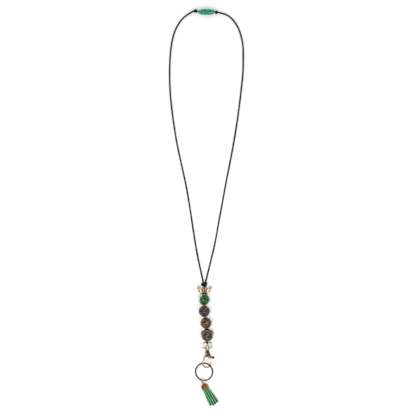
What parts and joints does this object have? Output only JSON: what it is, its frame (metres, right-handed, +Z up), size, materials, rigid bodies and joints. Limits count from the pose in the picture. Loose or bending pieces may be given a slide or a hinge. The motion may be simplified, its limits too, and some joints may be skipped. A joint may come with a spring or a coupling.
{
  "type": "beaded lanyard",
  "caption": "Beaded neck lanyard: a cord loop with a breakaway clasp, a column of spinning beads, a swivel snap hook, a split key ring and a suede tassel.",
  "frame": {"origin": "on the table under the centre of the split key ring", "axes": "+Y along the lanyard from the key ring to the clasp, +Z up from the table"},
  "size_m": [0.1008, 0.5353, 0.0157],
  "materials": {
    "cord": "waxed black cord",
    "clasp": "glossy green plastic",
    "gold": "polished light gold plate",
    "pale_gold": "cast, softly polished gold plate",
    "green_glass": "glossy green glass",
    "dark_glass": "dark glossy lampwork with inlay",
    "red_glass": "red-brown glossy lampwork with inlay",
    "pewter": "antiqued grey metal",
    "gunmetal": "dark polished steel",
    "spring_steel": "bright spring wire",
    "copper_gold": "polished copper-gold plate",
    "suede": "green suede"
  },
  "bodies": {
    "root": {"neck_cord_left": "cord", "neck_cord_right_lower": "cord", "bead_strand": "cord", "gathering_knot": "cord", "clasp_knot_left": "cord", "clasp_peg_half": "clasp"},
    "clasp_socket": {"clasp_socket_half": "clasp", "clasp_knot_right": "cord", "neck_cord_right_upper": "cord"},
    "wing": {"wing_bead": "pale_gold"},
    "green": {"green_bead": "green_glass", "green_core": "gold"},
    "dark": {"dark_bead": "dark_glass", "dark_core": "gold"},
    "red": {"red_bead": "red_glass", "red_core": "gold"},
    "shield": {"shield_bead": "pewter", "shield_core": "pewter"},
    "strap": {"strap_ring": "gold"},
    "hook": {"hook_body": "gold", "swivel_rivet": "gold", "gate_pin": "gold", "gate_spring": "spring_steel"},
    "gate": {"hook_gate": "gunmetal"},
    "key_ring": {"split_ring": "gunmetal"},
    "connector": {"jump_ring": "copper_gold"},
    "tassel": {"tassel_eye": "copper_gold", "tassel_cap": "copper_gold", "tassel_core": "suede", "tassel_fringe": "suede"}
  },
  "joints": [
    {"name": "clasp_pull", "type": "slide", "parent": "root", "child": "clasp_socket", "axis": [1, 0, 0], "range_m": [0, 0.008]},
    {"name": "wing_spin", "type": "hinge", "parent": "root", "child": "wing", "pos_m": [0.00009, 0.10948, 0.00655], "axis": [-0.044, -0.9572, 0.2861], "continuous": true},
    {"name": "green_spin", "type": "hinge", "parent": "root", "child": "green", "pos_m": [-0.0001, 0.09725, 0.00783], "axis": [0, -1, 0.0031], "continuous": true},
    {"name": "dark_spin", "type": "hinge", "parent": "root", "child": "dark", "pos_m": [0.0004, 0.08155, 0.00788], "axis": [0.0652, -0.9979, 0.0033], "continuous": true},
    {"name": "red_spin", "type": "hinge", "parent": "root", "child": "red", "pos_m": [0.00255, 0.0659, 0.00788], "axis": [0.202, -0.9794, -0.0031], "continuous": true},
    {"name": "shield_spin", "type": "hinge", "parent": "root", "child": "shield", "pos_m": [0.00449, 0.04949, 0.0066], "axis": [0.0341, -0.9886, -0.1466], "continuous": true},
    {"name": "strap_swing", "type": "hinge", "parent": "root", "child": "strap", "pos_m": [0.0041, 0.03895, 0.0039], "axis": [1, 0, 0], "range_deg": [-60, 60]},
    {"name": "hook_swivel", "type": "hinge", "parent": "strap", "child": "hook", "pos_m": [0.0041, 0.029, 0.0039], "axis": [0, 1, 0], "continuous": true},
    {"name": "gate_open", "type": "hinge", "parent": "hook", "child": "gate", "pos_m": [0.00644, 0.0209, 0.00338], "axis": [-0.2164, 0, -0.9763], "range_deg": [0, 24], "stiffness_Nm_per_rad": 0.004, "springref_deg": -5.73},
    {"name": "key_ring_swing", "type": "hinge", "parent": "hook", "child": "key_ring", "pos_m": [0.0033, 0.0114, 0.0041], "axis": [0, -1, 0], "range_deg": [0, 110]},
    {"name": "connector_swing", "type": "hinge", "parent": "key_ring", "child": "connector", "pos_m": [-0.00225, -0.01137, 0.00292], "axis": [0.9587, -0.1983, 0.2038], "range_deg": [-35, 35]},
    {"name": "tassel_swing", "type": "hinge", "parent": "connector", "child": "tassel", "pos_m": [-0.0023, -0.014, 0.00525], "axis": [0, 0, 1], "range_deg": [-60, 10]}
  ]
}
